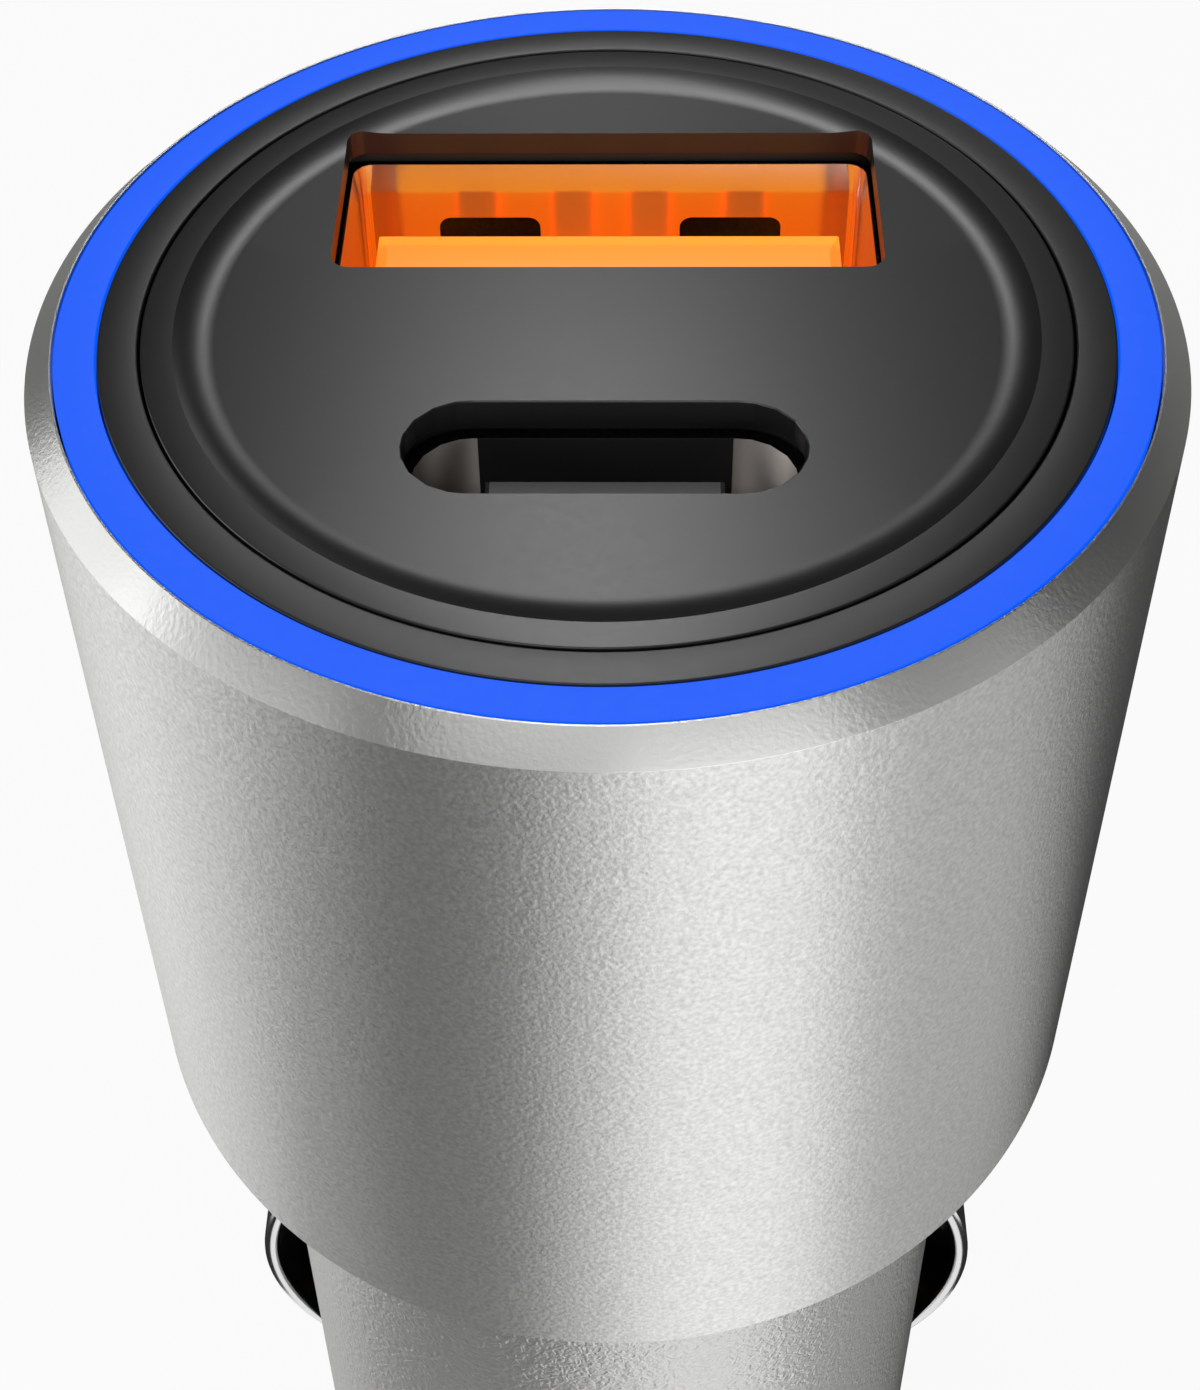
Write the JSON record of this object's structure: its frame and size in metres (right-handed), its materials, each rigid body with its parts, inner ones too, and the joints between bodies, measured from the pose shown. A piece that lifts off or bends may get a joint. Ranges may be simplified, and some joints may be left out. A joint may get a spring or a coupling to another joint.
{
  "type": "car usb charger plug",
  "caption": "Round metal 12 V socket plug with a lit ring, a USB-A and a USB-C charging port, and sprung contacts.",
  "frame": {"origin": "on the plug's axis, at the head's underside, where it stops on the rim of the socket", "axes": "+Z along the axis, out of the socket towards the ports; +Y from the USB-C port towards the USB-A port; the side contacts are on X"},
  "size_m": [0.026, 0.026, 0.0635],
  "materials": {
    "blasted_aluminium": "bead-blasted and clear anodised, satin",
    "grained_aluminium": "coarse blasted grain, satin",
    "blue_light_guide": "translucent, lit from below",
    "black_bezel": "satin moulded",
    "black_face": "satin moulded",
    "orange_insulator": "moulded",
    "black_insulator": "moulded",
    "receptacle_steel": "nickel-plated sheet",
    "contact_plating": "gold-plated",
    "contact_chrome": "polished chrome plate",
    "nose_plastic": "moulded, fine texture",
    "inner_plastic": "moulded",
    "circuit_board": "solder mask",
    "lamp": "moulded lamp body",
    "terminal_brass": "stamped",
    "spring_steel": "drawn wire",
    "ferrite": "pressed",
    "capacitor_can": "drawn can",
    "chip_epoxy": "moulded epoxy",
    "ceramic": "fired"
  },
  "bodies": {
    "charger": {"head_shell": "blasted_aluminium", "barrel_sleeve": "grained_aluminium", "light_ring": "blue_light_guide", "bezel_ring": "black_bezel", "face_plate": "black_face", "port_carrier": "inner_plastic", "led_board": "circuit_board", "port_board": "circuit_board", "usb_a_shell": "receptacle_steel", "usb_a_insulator": "orange_insulator", "usb_c_shell": "receptacle_steel", "usb_c_insulator": "black_insulator", "usb_c_contacts_front": "contact_plating", "usb_c_contacts_back": "contact_plating", "inner_body": "inner_plastic", "main_board": "circuit_board", "buck_inductor": "ferrite", "input_capacitor": "capacitor_can", "output_capacitor": "capacitor_can", "converter_chip": "chip_epoxy", "protocol_chip": "chip_epoxy", "rectifier": "chip_epoxy", "ground_ring": "terminal_brass", "positive_terminal": "terminal_brass", "nose_cap": "nose_plastic", "tip_spring": "spring_steel", "led_1": "lamp", "led_2": "lamp", "led_3": "lamp", "led_4": "lamp", "led_5": "lamp", "led_6": "lamp", "led_7": "lamp", "led_8": "lamp", "usb_a_contact_1": "contact_plating", "usb_a_contact_2": "contact_plating", "usb_a_contact_3": "contact_plating", "usb_a_contact_4": "contact_plating", "ceramic_capacitor_1": "ceramic", "ceramic_capacitor_2": "ceramic", "ceramic_capacitor_3": "ceramic", "ceramic_capacitor_4": "ceramic", "ceramic_capacitor_5": "ceramic", "ceramic_capacitor_6": "ceramic"},
    "tip": {"tip_contact": "contact_chrome"},
    "left_contact": {"side_contact_left": "contact_chrome"},
    "right_contact": {"side_contact_right": "contact_chrome"}
  },
  "joints": [
    {"name": "tip_press", "type": "slide", "parent": "charger", "child": "tip", "axis": [0, 0, 1], "range_m": [0, 0.0025], "stiffness_N_per_m": 500, "springref_m": -0.004, "deforming": ["tip_spring"]},
    {"name": "left_contact_press", "type": "slide", "parent": "charger", "child": "left_contact", "axis": [1, 0, 0], "range_m": [0, 0.00125], "stiffness_N_per_m": 800, "springref_m": -0.002},
    {"name": "right_contact_press", "type": "slide", "parent": "charger", "child": "right_contact", "axis": [-1, 0, 0], "range_m": [0, 0.00125], "stiffness_N_per_m": 800, "springref_m": -0.002}
  ]
}
